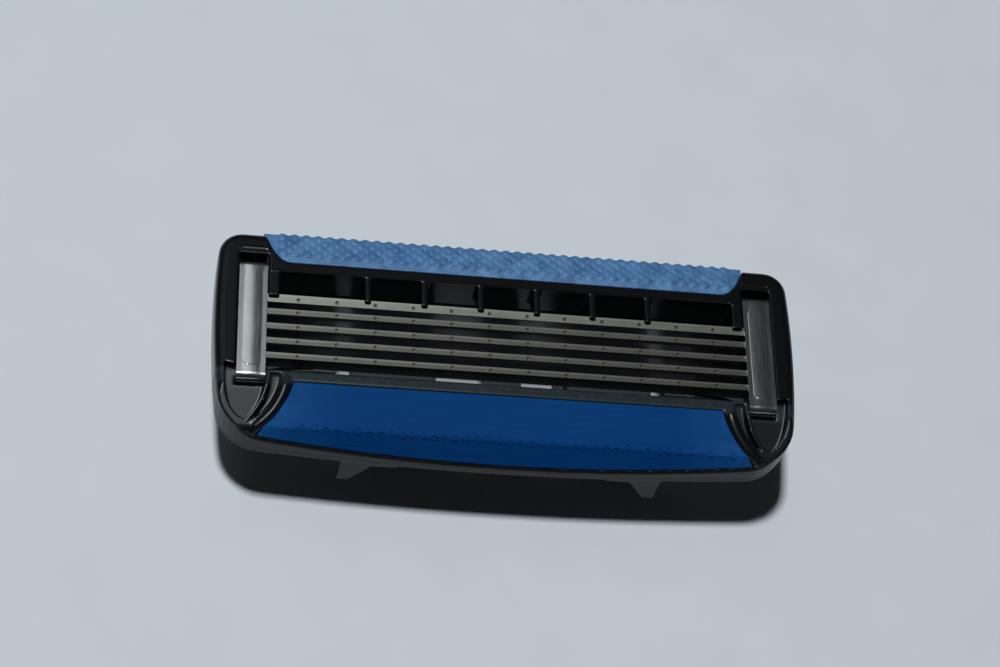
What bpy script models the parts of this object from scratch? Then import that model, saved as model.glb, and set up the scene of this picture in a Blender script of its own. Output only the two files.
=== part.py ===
"""Five-blade shaving cartridge at its real size.

The cartridge lies shaving side up on its handle yoke. X runs along the blades, +Y towards the
guard strip and +Z up. The origin is on the table, under the middle of the cartridge. All sizes
are in millimetres until a mesh is made.
"""
import math

import bmesh
import bpy

MM = 0.001

# Overall size
WIDTH = 41.8            # along X, over the bowed side walls
DEPTH = 16.78           # along Y, from the guard strip's edge to the cap's wall

# Heights, from the foot up
PIVOT_RISE = 4.3        # pivot axis above the yoke's foot
KNUCKLE_R = 1.1         # round end of each yoke arm
KNUCKLE_GAP = 0.2       # between a yoke arm and the shell's floor
FLOOR_T = 0.6           # shell floor
SHELL_H = 1.0           # shell, from under its floor to the parting line
HOUSING_H = 3.0         # upper frame, from the parting line to the shaving plane
SEAM = 0.05             # gap left between two pieces that touch

# Plan of the upper frame, from the guard side to the cap side
GUARD_OVERHANG = 0.55   # guard strip past the frame's front wall
GUARD_W = 2.8           # guard strip, front to back
GUARD_BAR_W = 0.8       # black bar behind the guard strip
RINSE_GAP = 1.73        # bar to the first cutting edge
BLADE_COUNT = 5
BLADE_PITCH = 1.17
LAST_GAP = 1.54         # last cutting edge to the cap ledge
CAP_LEDGE_W = 0.9
CAP_LIP_W = 0.25        # frame wall left outside the lubricating strip

# Outline of the frame
FRONT_R = 1.7           # corners beside the guard
BACK_R = 3.4            # corners beside the cap
BULGE_Y = 1.7           # where the frame is widest
SIDE_BOW = 0.0075       # how fast the sides draw in, per mm squared
BACK_BOW = 0.82         # how far the cap's wall bows out in the middle
RIM_R = 0.6             # rounded top rim
SHELL_INSET = 0.12      # step from the frame's wall in to the shell's wall
SHELL_CHAMFER = 0.2

# End clips
CLIP_W = 2.0
CLIP_T = 0.28
CLIP_MARGIN = 1.64      # clip's outer edge to the side wall
CLIP_LAP = 0.45         # how far a clip lies on the frame outside the blade opening
CLIP_REACH_FRONT = 0.5  # blade opening to the inner face of the clip leg beside the guard
CLIP_REACH_BACK = 0.5   # blade opening to the inner face of the clip leg beside the cap
CLIP_BEND_R = 0.5       # outer radius of the clip's bends
CLIP_FOLD = 1.5         # length of the feet folded under the shell
CLIP_GAP = 0.06         # clearance round a clip
CLIP_SLOT_FRONT = 0.55  # slot left open outside the clip leg beside the guard
CLIP_SLOT_BACK = 0.12   # slot left open outside the clip leg beside the cap
PANEL_W = 1.3           # raised panel on a clip
PANEL_H = 0.08
PANEL_R = 0.45
PANEL_MARGIN = 0.75     # panel's ends to the clip legs

# Blades and the bent rails that they are welded to
BLADE_TILT = math.radians(24)
BLADE_T = 0.1
BLADE_W = 0.4           # cutting edge to the back of the blade
FIRST_BLADE_W = 0.56    # the same on the blade beside the guard, which is wider
BEVEL_W = 0.14          # ground bevel behind the cutting edge
CLIP_TO_EDGE = 0.06     # cutting edges under the clips
WELD_GAP = 0.02         # between a blade and its rail
RAIL_T = 0.2
RAIL_LEAD = 0.12        # cutting edge to the front of the rail
RAIL_BEND_R = 0.3       # outer radius of the rail's bend
BLADE_TRAVEL = 0.4      # how far a blade can be pressed in
BLADE_END_GAP = 0.3     # blade end to the end of the opening
COMB_L = 1.0            # guide blocks that the rails slide in, along X
RAIL_GAP = 0.06         # clearance of a rail in its guide slot

# Spring arms under the rails
ARM_CLEAR = 1.0         # arm's tip above the shell floor when its blade is pressed in
ARM_L = 5.0
ARM_LEVEL_L = 1.5       # how far from its tip an arm starts to level out
ARM_ROOT_L = 1.0
ARM_T = 0.3
ARM_W = 0.45

# Comb posts in the rinsing gap
POST_PITCH = 4.06
POST_PAIRS = 3
POST_W = 0.5
END_POST_X = 16.8       # wider posts beside the clips
END_POST_W = 0.8
POST_EDGE_GAP = 0.08    # round the first cutting edge
POST_LAP = 0.3          # how far a post's nose reaches over the first blade
POST_DROP = 0.06        # posts under the shaving plane
POST_TIP_H = 0.7
POST_ROOT_H = 2.1

# Guard strip
GUARD_T = 1.5
GUARD_BAND_W = 0.5      # smooth band along its inner edge
GUARD_FALL = 0.9        # outer edge under the inner edge
GUARD_EDGE_T = 0.2      # upright part of its outer edge
GUARD_END_OUT = 3.3     # side wall to the strip's outer corners
GUARD_END_RUN = 1.9     # how far the curved ends draw in
GUARD_END_PULL = 0.85   # how far in the ends' curve is aimed
SEAT_GAP = 0.05         # clearance round the strips in their seats

# Lubricating strip
LUBE_T = 0.9
LUBE_BED = 0.15         # frame left under the strip's outer edge
LUBE_CREASE = 1.05      # crease to the strip's outer edge
LUBE_FALL_IN = 0.98     # crease under the inner edge
LUBE_FALL_OUT = 1.62    # outer edge under the crease
LUBE_END_OUT = 2.55     # side wall to the strip's outer corners
LUBE_END_RUN = 3.1      # how far the curved ends draw in
LUBE_END_PULL = 0.45    # how far out from the inner corners the ends' curve is aimed
CAP_PROUD = 0.1         # frame surface above the strip

# Bowls and grooves in the frame's cap corners
BOWL_DEPTH = 0.85
BOWL_LENGTH = 3.05      # back clip leg to the bowl's tip
BOWL_SHOULDER = 1.6     # back clip leg to where the bowl's inner side turns in
BOWL_ROUND = 2.65       # back clip leg to where the bowl's outer side turns in
BOWL_SIDE = 0.85        # bowl's outer side past the clip's edge
BOWL_LEAD = 0.9         # how far the bowl's outer side starts before the back clip leg
BOWL_TIP_OUT = 0.25     # bowl's tip outside the clip's middle
GROOVE_DEPTH = 0.5
GROOVE_W = 0.7
GROOVE_OUT = 1.1        # groove's top to the bowl's side
GROOVE_START = 0.25     # blade opening to the groove's upper end
GROOVE_TIP_OUT = 0.2    # groove's lower end past the bowl's tip
GROOVE_TIP_IN = 0.25    # the same towards the middle

# Windows in the shell floor
RIB_HALF = 1.4          # middle rib, half its width
WINDOW_L = 3.4          # middle windows along X
SLOT_X = 10.95          # inner edge of the narrow slots
SLOT_L = 1.0
SIDE_WINDOW_L = 4.05    # wide windows beside the cap
SIDE_WINDOW_W = 1.7
FLOOR_RIM = 0.25        # floor left round the opening's edge

# Fins under the cap side of the shell
FIN_IN = 9.25
FIN_L = 2.25
FIN_TIP_L = 0.85
FIN_TIP_OFFSET = 1.4    # tip's inner corner past the fin's inner corner
FIN_H = 2.7
FIN_T = 0.8
FIN_SETBACK = 0.05      # fins behind the shell's wall
FIN_LEDGE_L = 1.8
FIN_LEDGE_H = 0.45

# Pivot, yoke and the lugs that carry it
PIVOT_Y = 1.0
TRUNNION_R = 0.8
TRUNNION_L = 2.1
PIVOT_GAP = 0.05        # running clearance of the trunnions
YOKE_HALF_L = 7.5
YOKE_HALF_D = 3.4
YOKE_FRAME_H = 2.3
YOKE_R = 1.3
SOCKET_HALF_L = 4.9
SOCKET_HALF_D = 2.6
SOCKET_R = 0.6
ARM_FOOT_HALF = 1.9     # yoke arm where it leaves the frame, half its depth
ARM_THICK = 2.1         # yoke arm along X
LATCH_W = 2.2           # latch windows in the socket's end walls
LATCH_H = 1.0
LATCH_RISE = 0.7
LUG_L = 2.0
LUG_WALL = 0.65         # material round a pivot bore
LUG_SIDE_GAP = 0.25     # yoke to the lugs, along X
STOP_L = 1.8
STOP_D = 0.8
STOP_GAP = 0.05         # stop ribs above the yoke's frame
STOP_INSET = 0.3        # stop ribs inside the yoke's rear edge

# Heights and places worked out from the sizes above
FLOOR_Z = PIVOT_RISE + KNUCKLE_R + KNUCKLE_GAP
FLOOR_TOP = FLOOR_Z + FLOOR_T
PARTING = FLOOR_Z + SHELL_H
FRAME_Z = PARTING + SEAM
TOP = FRAME_Z + HOUSING_H
FRONT = DEPTH / 2 - GUARD_OVERHANG
BACK = -DEPTH / 2
GUARD_IN = DEPTH / 2 - GUARD_W
OPEN_FRONT = GUARD_IN - GUARD_BAR_W
FIRST_EDGE = OPEN_FRONT - RINSE_GAP
LAST_EDGE = FIRST_EDGE - BLADE_PITCH * (BLADE_COUNT - 1)
OPEN_BACK = LAST_EDGE - LAST_GAP
LUBE_IN = OPEN_BACK - CAP_LEDGE_W
LUBE_OUT = BACK + CAP_LIP_W
CREASE_Y = LUBE_OUT + LUBE_CREASE
CLIP_X = WIDTH / 2 - CLIP_MARGIN - CLIP_W / 2
OPEN_HALF = CLIP_X + CLIP_W / 2 - CLIP_LAP
BLADE_HALF = OPEN_HALF - BLADE_END_GAP
EDGE_Z = TOP - CLIP_T - CLIP_TO_EDGE
LEG_FRONT = OPEN_FRONT + CLIP_REACH_FRONT
LEG_BACK = OPEN_BACK - CLIP_REACH_BACK
BOWL_TIP = (CLIP_X + BOWL_TIP_OUT, LEG_BACK - BOWL_LENGTH)
ARM_RISE = BLADE_TRAVEL + ARM_CLEAR + ARM_T
RAIL_FOOT = FLOOR_TOP + SEAM + ARM_RISE + SEAM
ARC_STEPS = 8
ARC_ROOM = 1.2          # room kept for a corner's arc along its sides, in radii
CUT = 2.0               # how far a cutter runs past what it cuts


def material(name, colour, roughness, metallic=0.0):
    """A plain finish for one kind of piece."""
    made = bpy.data.materials.new(name)
    made.use_nodes = True
    shader = made.node_tree.nodes["Principled BSDF"]
    shader.inputs["Base Color"].default_value = (*colour, 1.0)
    shader.inputs["Roughness"].default_value = roughness
    shader.inputs["Metallic"].default_value = metallic
    return made


def as_object(name, bm, finish=None):
    """Turn a finished bmesh into an object, with round stretches shaded smooth."""
    bmesh.ops.recalc_face_normals(bm, faces=bm.faces)
    mesh = bpy.data.meshes.new(name)
    bm.to_mesh(mesh)
    bm.free()
    mesh.shade_smooth()
    mesh.set_sharp_from_angle(angle=math.radians(30))
    if finish:
        mesh.materials.append(finish)
    made = bpy.data.objects.new(name, mesh)
    bpy.context.scene.collection.objects.link(made)
    return made


def add_loft(bm, rings):
    """Join rings of as many points each into one closed body."""
    rows = [[bm.verts.new([value * MM for value in point]) for point in ring] for ring in rings]
    bm.faces.new(rows[0])
    bm.faces.new(rows[-1])
    for low, high in zip(rows, rows[1:]):
        for i in range(len(low)):
            bm.faces.new((low[i - 1], low[i], high[i], high[i - 1]))


def placed(axis, a, b, along):
    """A point of an outline drawn across one axis: X takes (y, z), Y (x, z) and Z (x, y)."""
    return {"X": (along, a, b), "Y": (a, along, b), "Z": (a, b, along)}[axis]


def prisms(name, bodies, finish=None):
    """One object of straight bodies, each given as (outline, axis, low, high)."""
    bm = bmesh.new()
    for outline, axis, low, high in bodies:
        add_loft(bm, [[placed(axis, a, b, end) for a, b in outline] for end in (low, high)])
    return as_object(name, bm, finish)


def boolean(target, operation, tool):
    """Combine target with a tool that isn't itself a piece."""
    tool.hide_render = True
    tool.display_type = "WIRE"
    change = target.modifiers.new(tool.name, "BOOLEAN")
    change.operation = operation
    change.solver = "EXACT"
    change.object = tool


def rectangle(a_low, a_high, b_low, b_high):
    return [(a_low, b_low), (a_high, b_low), (a_high, b_high), (a_low, b_high)]


def rounded(corners):
    """Outline through (a, b, radius) corners, with an arc where the radius isn't 0."""
    points = []
    for i, (a, b, radius) in enumerate(corners):
        if radius == 0:
            points.append((a, b))
            continue
        before = corners[i - 1]
        after = corners[(i + 1) % len(corners)]
        angle_in = math.atan2(b - before[1], a - before[0])
        angle_out = math.atan2(after[1] - b, after[0] - a)
        turn = math.remainder(angle_out - angle_in, math.tau)
        reach = radius * math.tan(abs(turn) / 2)
        side = math.copysign(radius, turn)
        start = (a - reach * math.cos(angle_in), b - reach * math.sin(angle_in))
        centre = (start[0] - side * math.sin(angle_in), start[1] + side * math.cos(angle_in))
        for step in range(ARC_STEPS + 1):
            angle = angle_in + turn * step / ARC_STEPS
            points.append((centre[0] + side * math.sin(angle), centre[1] - side * math.cos(angle)))
    return points


def rounded_rectangle(a_half, b_low, b_high, radius):
    return rounded([(a, b, radius) for a, b in rectangle(-a_half, a_half, b_low, b_high)])


def offset(outline, distance):
    """Move each point of a closed, anticlockwise outline outwards, square to its edges."""
    moved = []
    for i, (a, b) in enumerate(outline):
        before = outline[i - 1]
        after = outline[(i + 1) % len(outline)]
        angle_in = math.atan2(b - before[1], a - before[0])
        turn = math.remainder(math.atan2(after[1] - b, after[0] - a) - angle_in, math.tau)
        normal = angle_in + turn / 2 - math.pi / 2
        reach = distance / math.cos(turn / 2)
        moved.append((a + reach * math.cos(normal), b + reach * math.sin(normal)))
    return moved


def bezier(start, pull, end):
    """Points of a curve from start to end, drawn towards pull."""
    points = []
    for step in range(ARC_STEPS + 1):
        t = step / ARC_STEPS
        weights = ((1 - t) ** 2, 2 * t * (1 - t), t ** 2)
        nodes = (start, pull, end)
        points.append(tuple(sum(w * p[k] for w, p in zip(weights, nodes)) for k in (0, 1)))
    return points


def arc(a, b, radius, start, turn, steps=12):
    """Points on a circle round (a, b), from a start angle on through a turn."""
    angles = [start + turn * step / steps for step in range(steps + 1)]
    return [(a + radius * math.cos(angle), b + radius * math.sin(angle)) for angle in angles]


def circle(a, b, radius):
    return arc(a, b, radius, 0, math.tau, 24)[:-1]


def strip_outline(path, thickness):
    """Outline of sheet metal whose outer face follows an open path, on the path's left."""
    angles = [math.atan2(q[1] - p[1], q[0] - p[0]) for p, q in zip(path, path[1:])]
    inner = []
    for i, (a, b) in enumerate(path):
        angle_in = angles[max(i - 1, 0)]
        turn = math.remainder(angles[min(i, len(angles) - 1)] - angle_in, math.tau)
        normal = angle_in + turn / 2 + math.pi / 2
        reach = thickness / math.cos(turn / 2)
        inner.append((a + reach * math.cos(normal), b + reach * math.sin(normal)))
    return path + inner[::-1]


def open_rounded(corners):
    """As rounded, but for an open path whose two ends are sharp."""
    return rounded([(*corners[0][:2], 0)] + corners[1:-1] + [(*corners[-1][:2], 0)])


def mirrored(outline):
    """The same outline on the other side of the middle, still anticlockwise."""
    return [(-a, b) for a, b in outline[::-1]]


def both_sides(outlines):
    return [outline for right in outlines for outline in (right, mirrored(right))]


def side_x(y):
    """Half the frame's width at y, where the side walls bow."""
    return WIDTH / 2 - SIDE_BOW * (y - BULGE_Y) ** 2


def back_y(x):
    """The cap's wall at x, where it bows out."""
    return BACK + BACK_BOW * (x / side_x(BACK + BACK_BOW)) ** 2


def frame_outline():
    """Plan of the upper frame: square at the guard, round at the cap, with bowed sides."""
    side_steps = 6
    high = FRONT - ARC_ROOM * FRONT_R
    low = BACK + BACK_BOW + ARC_ROOM * BACK_R
    side = [high + (low - high) * step / side_steps for step in range(side_steps + 1)]
    corner_x = side_x(BACK + BACK_BOW)
    back_steps = 5
    back_x = [(corner_x - ARC_ROOM * BACK_R) * (1 - step / back_steps) for step in range(back_steps)]
    right = [(side_x(FRONT), FRONT, FRONT_R)]
    right += [(side_x(y), y, 0) for y in side]
    right += [(corner_x, BACK + BACK_BOW, BACK_R)]
    right += [(x, back_y(x), 0) for x in back_x]
    left = [(-x, y, radius) for x, y, radius in right[::-1]]
    return rounded(right + [(0, BACK, 0)] + left)[::-1]


def guard_outline(grow=0.0):
    """Plan of the guard strip, whose ends curve in to meet its inner edge."""
    outer = WIDTH / 2 - GUARD_END_OUT
    aim = (outer - GUARD_END_PULL, GUARD_IN)
    right = bezier((outer - GUARD_END_RUN, GUARD_IN), aim, (outer, DEPTH / 2))
    return offset(right + [(-x, y) for x, y in right[::-1]], grow)


def lube_outline(grow=0.0):
    """Plan of the lubricating strip before its outer edge is cut to follow the cap's wall."""
    outer = WIDTH / 2 - LUBE_END_OUT
    inner = outer - LUBE_END_RUN
    aim = (inner + LUBE_END_PULL, (LUBE_IN + LUBE_OUT) / 2)
    right = [(outer, BACK - CUT)] + bezier((outer, LUBE_OUT), aim, (inner, LUBE_IN))
    return offset(right + [(-x, y) for x, y in right[::-1]], grow)


def inside_lip(name, grow=0.0):
    """Everything inside the wall that the frame keeps round the cap."""
    plan = offset(frame_outline(), grow - CAP_LIP_W)
    return prisms(name, [(plan, "Z", FLOOR_Z - CUT, TOP + 2 * CUT)])


def cap_z(y, lift=0.0):
    """Height of the cap's surface: two slopes that meet at the crease."""
    if y > CREASE_Y:
        return TOP - LUBE_FALL_IN * (LUBE_IN - y) / (LUBE_IN - CREASE_Y) + lift
    return TOP - LUBE_FALL_IN - LUBE_FALL_OUT * (CREASE_Y - y) / LUBE_CREASE + lift


def below_cap(drop):
    """Cross-section of everything lower than the cap's surface less a drop."""
    ends = (LUBE_IN + CUT, CREASE_Y, BACK - CUT)
    return [(y, cap_z(y, -drop)) for y in ends] + [(BACK - CUT, FLOOR_Z - 2 * CUT),
                                                   (LUBE_IN + CUT, FLOOR_Z - 2 * CUT)]


def bowl_outline():
    """Right-hand teardrop recess under the lower end of a clip."""
    near_x = CLIP_X - CLIP_W / 2 - CLIP_GAP
    far_x = CLIP_X + CLIP_W / 2 + BOWL_SIDE
    shoulder = LEG_BACK - BOWL_SHOULDER
    inner = bezier((near_x, LEG_BACK + CLIP_T), (near_x, shoulder), BOWL_TIP)
    outer = bezier(BOWL_TIP, (far_x, LEG_BACK - BOWL_ROUND), (far_x, LEG_BACK + BOWL_LEAD))
    return inner + outer[1:]


def groove_outline():
    """Right-hand curved groove between the lubricating strip's end rib and the bowl, run to a point."""
    top_x = CLIP_X - CLIP_W / 2 - GROOVE_OUT
    top_y = OPEN_BACK - GROOVE_START
    low_x = BOWL_TIP[0] - GROOVE_TIP_IN
    low_y = BOWL_TIP[1] - GROOVE_TIP_OUT
    shoulder = LEG_BACK - BOWL_SHOULDER
    near = bezier((top_x, top_y), (top_x, shoulder), (low_x, low_y))
    far = bezier((top_x + GROOVE_W, top_y), (top_x + GROOVE_W, shoulder), (low_x, low_y))
    return near + far[-2::-1]


def blade_edges():
    """Places of the cutting edges along Y, from the guard to the cap."""
    return [FIRST_EDGE - BLADE_PITCH * i for i in range(BLADE_COUNT)]


def along_blade(back, up):
    """A point of the blade's cross-section, from its cutting edge: back along it and up off it."""
    cos_t = math.cos(BLADE_TILT)
    sin_t = math.sin(BLADE_TILT)
    return (-back * cos_t - up * sin_t, -back * sin_t + up * cos_t)


def blade_profile(width):
    half = BLADE_T / 2
    backs = (0.0, BEVEL_W, width, width, BEVEL_W)
    ups = (0.0, half, half, -half, -half)
    return [along_blade(back, up) for back, up in zip(backs, ups)]


def rail_leg_y():
    """Rear face of a rail's upright leg, from the cutting edge."""
    return along_blade(BLADE_W + RAIL_T / 2, -BLADE_T / 2)[0]


def rail_seat_z(y):
    """Upper face of a rail's seat, from the cutting edge."""
    front = along_blade(RAIL_LEAD, -BLADE_T / 2 - WELD_GAP)
    return front[1] + (y - front[0]) * math.tan(BLADE_TILT)


def rail_profile():
    """Bent rail: a seat under the blade and an upright leg down to the spring arms."""
    front = along_blade(RAIL_LEAD, -BLADE_T / 2 - WELD_GAP)
    leg = rail_leg_y()
    bend = (leg, rail_seat_z(leg))
    foot = (leg, RAIL_FOOT - EDGE_Z)
    return strip_outline(open_rounded([(*front, 0), (*bend, RAIL_BEND_R), (*foot, 0)]), RAIL_T)


def clip_profile():
    """Clip: a band over the blades, two legs through frame and shell, and feet folded under."""
    front = LEG_FRONT + CLIP_T
    back = LEG_BACK - CLIP_T
    foot_z = FLOOR_Z - SEAM - CLIP_T
    path = open_rounded([
        (front - CLIP_FOLD, foot_z, 0),
        (front, foot_z, CLIP_BEND_R),
        (front, TOP, CLIP_BEND_R),
        (back, TOP, CLIP_BEND_R),
        (back, foot_z, CLIP_BEND_R),
        (back + CLIP_FOLD, foot_z, 0),
    ])
    return strip_outline(path, CLIP_T)


def make_frame(black):
    """Upper frame with its openings, seats, slots and comb posts."""
    plan = frame_outline()
    rings = [[(x, y, FRAME_Z) for x, y in plan]]
    rim_steps = 3
    for step in range(rim_steps + 1):
        angle = math.pi / 2 * step / rim_steps
        inset = offset(plan, -RIM_R * (1 - math.cos(angle)))
        rings.append([(x, y, TOP - RIM_R * (1 - math.sin(angle))) for x, y in inset])
    bm = bmesh.new()
    add_loft(bm, rings)
    housing = as_object("housing", bm, black)

    above_cap = [(y, cap_z(y, CAP_PROUD)) for y in (LUBE_IN + CUT, CREASE_Y, BACK - CUT)]
    above_cap += [(BACK - CUT, TOP + CUT), (LUBE_IN + CUT, TOP + CUT)]
    boolean(housing, "DIFFERENCE", prisms("cap_slope_cutter", [(above_cap, "X", -WIDTH, WIDTH)]))

    opening = rectangle(-OPEN_HALF, OPEN_HALF, OPEN_BACK, OPEN_FRONT)
    through = (FRAME_Z - CUT, TOP + CUT)
    boolean(housing, "DIFFERENCE", prisms("blade_opening_cutter", [(opening, "Z", *through)]))

    bed = TOP - GUARD_T - SEAT_GAP
    seat = prisms("guard_seat_cutter", [(guard_outline(SEAT_GAP), "Z", bed, TOP + CUT)])
    boolean(housing, "DIFFERENCE", seat)

    bed = FRAME_Z + LUBE_BED - SEAT_GAP
    seat = prisms("lube_seat_cutter", [(lube_outline(SEAT_GAP), "Z", bed, TOP + CUT)])
    under = prisms("lube_seat_floor", [(below_cap(LUBE_T + SEAT_GAP), "X", -WIDTH, WIDTH)])
    boolean(seat, "DIFFERENCE", under)
    boolean(seat, "INTERSECT", inside_lip("lube_seat_edge", SEAT_GAP))
    boolean(housing, "DIFFERENCE", seat)

    corners = both_sides([bowl_outline()])
    bowls = prisms("bowl_cutter", [(outline, "Z", *through) for outline in corners])
    under = prisms("bowl_floor", [(below_cap(BOWL_DEPTH), "X", -WIDTH, WIDTH)])
    boolean(bowls, "DIFFERENCE", under)
    boolean(housing, "DIFFERENCE", bowls)

    corners = both_sides([groove_outline()])
    grooves = prisms("groove_cutter", [(outline, "Z", *through) for outline in corners])
    under = prisms("groove_floor", [(below_cap(GROOVE_DEPTH), "X", -WIDTH, WIDTH)])
    boolean(grooves, "DIFFERENCE", under)
    boolean(housing, "DIFFERENCE", grooves)

    low_x = CLIP_X - CLIP_W / 2 - CLIP_GAP
    high_x = CLIP_X + CLIP_W / 2 + CLIP_GAP
    channel = rectangle(low_x, high_x, LEG_BACK - CLIP_T, LEG_FRONT + CLIP_T)
    channels = [(outline, "Z", TOP - CLIP_T - SEAM, TOP + CUT) for outline in both_sides([channel])]
    boolean(housing, "DIFFERENCE", prisms("clip_channel_cutter", channels))
    slots = [(outline, "Z", *through) for outline in clip_slots()]
    boolean(housing, "DIFFERENCE", prisms("clip_slot_cutter", slots))

    posts = []
    front = FIRST_EDGE + POST_EDGE_GAP
    nose = FIRST_EDGE - POST_LAP
    nose_z = EDGE_Z + POST_EDGE_GAP
    root = OPEN_FRONT + GUARD_BAR_W / 2
    profile = [(nose, TOP - POST_DROP), (nose, nose_z), (front, nose_z),
               (front, TOP - POST_DROP - POST_TIP_H), (root, TOP - POST_DROP - POST_ROOT_H),
               (root, TOP - POST_DROP)]
    places = [((i + 0.5 - POST_PAIRS) * POST_PITCH, POST_W) for i in range(2 * POST_PAIRS)]
    places += [(-END_POST_X, END_POST_W), (END_POST_X, END_POST_W)]
    for middle, width in places:
        posts.append((profile, "X", middle - width / 2, middle + width / 2))
    boolean(housing, "UNION", prisms("comb_posts", posts))

    leg_front = rail_leg_y() + RAIL_T
    bend_z = EDGE_Z + rail_seat_z(leg_front) - RAIL_T / math.cos(BLADE_TILT)
    comb_top = bend_z - BLADE_TRAVEL - RAIL_GAP
    block = rectangle(OPEN_HALF - COMB_L, OPEN_HALF + CLIP_LAP, OPEN_BACK - SEAM, FIRST_EDGE)
    blocks = [(outline, "Z", FRAME_Z, comb_top) for outline in both_sides([block])]
    comb = prisms("guide_comb", blocks)
    slots = []
    for edge in blade_edges():
        rear = edge + rail_leg_y()
        slot = rectangle(0, BLADE_HALF + RAIL_GAP, rear - RAIL_GAP, rear + RAIL_T + RAIL_GAP)
        slots += [(outline, "Z", *through) for outline in (slot, mirrored(slot))]
    boolean(comb, "DIFFERENCE", prisms("guide_slots", slots))
    boolean(housing, "UNION", comb)


def clip_slots():
    """Plans of the four slots that the clip legs pass through."""
    low_x = CLIP_X - CLIP_W / 2 - CLIP_GAP
    high_x = CLIP_X + CLIP_W / 2 + CLIP_GAP
    front = rectangle(low_x, high_x, LEG_FRONT - CLIP_GAP, LEG_FRONT + CLIP_T + CLIP_SLOT_FRONT)
    back = rectangle(low_x, high_x, LEG_BACK - CLIP_T - CLIP_SLOT_BACK, LEG_BACK + CLIP_GAP)
    return both_sides([front, back])


def floor_windows():
    """Plans of the rinsing windows in the shell floor."""
    low_y = OPEN_BACK + FLOOR_RIM
    high_y = OPEN_FRONT - FLOOR_RIM
    middle = rectangle(RIB_HALF, RIB_HALF + WINDOW_L, low_y, high_y)
    side_top = low_y + SIDE_WINDOW_W
    narrow = [(SLOT_X, low_y), (SLOT_X + SIDE_WINDOW_L, low_y), (SLOT_X + SIDE_WINDOW_L, side_top),
              (SLOT_X + SLOT_L, side_top), (SLOT_X + SLOT_L, high_y), (SLOT_X, high_y)]
    return both_sides([middle, narrow])


def make_shell(grey):
    """Rear shell: a shallow tray with windows, pivot lugs, stop ribs and fins."""
    plan = offset(frame_outline(), -SHELL_INSET)
    narrow = offset(plan, -SHELL_CHAMFER)
    rings = [[(x, y, FLOOR_Z) for x, y in narrow]]
    rings += [[(x, y, z) for x, y in plan] for z in (FLOOR_Z + SHELL_CHAMFER, PARTING)]
    bm = bmesh.new()
    add_loft(bm, rings)
    shell = as_object("rear_shell", bm, grey)

    inside = rectangle(-OPEN_HALF, OPEN_HALF, OPEN_BACK, OPEN_FRONT)
    boolean(shell, "DIFFERENCE", prisms("shell_cavity", [(inside, "Z", FLOOR_TOP, PARTING + CUT)]))
    plans = floor_windows() + clip_slots()
    cuts = [(outline, "Z", FLOOR_Z - CUT, PARTING + CUT) for outline in plans]
    boolean(shell, "DIFFERENCE", prisms("window_cutter", cuts))

    bore = TRUNNION_R + PIVOT_GAP
    lug_r = bore + LUG_WALL
    root = FLOOR_Z + FLOOR_T / 2
    lug = arc(PIVOT_Y, PIVOT_RISE, lug_r, math.pi, math.pi)
    lug += [(PIVOT_Y + lug_r, root), (PIVOT_Y - lug_r, root)]
    lug_x = YOKE_HALF_L + LUG_SIDE_GAP
    hole = circle(PIVOT_Y, PIVOT_RISE, bore)

    stop_y = PIVOT_Y - YOKE_HALF_D + STOP_INSET
    stop = rectangle(stop_y, stop_y + STOP_D, YOKE_FRAME_H + STOP_GAP, root)
    stop_x = YOKE_HALF_L - STOP_L

    fin_y = back_y(FIN_IN + FIN_L) + SHELL_INSET + FIN_SETBACK
    fin_root = FLOOR_Z + SHELL_CHAMFER + FLOOR_T / 2
    ledge_x = FIN_IN - FIN_LEDGE_L
    ledge_z = FLOOR_Z - FIN_LEDGE_H
    tip_x = FIN_IN + FIN_TIP_OFFSET
    tip_z = FLOOR_Z - FIN_H
    fin = [(ledge_x, fin_root), (ledge_x, ledge_z), (FIN_IN, ledge_z), (tip_x, tip_z),
           (tip_x + FIN_TIP_L, tip_z), (FIN_IN + FIN_L, ledge_z), (FIN_IN + FIN_L, fin_root)]

    bodies = [(outline, "Y", fin_y, fin_y + FIN_T) for outline in both_sides([fin])]
    bores = []
    for side in (-1, 1):
        bodies.append((lug, "X", side * lug_x, side * (lug_x + LUG_L)))
        bodies.append((stop, "X", side * stop_x, side * YOKE_HALF_L))
        bores.append((hole, "X", side * YOKE_HALF_L, side * (lug_x + LUG_L + CUT)))
    boolean(shell, "UNION", prisms("shell_underside", bodies))
    boolean(shell, "DIFFERENCE", prisms("pivot_bores", bores))


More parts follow.
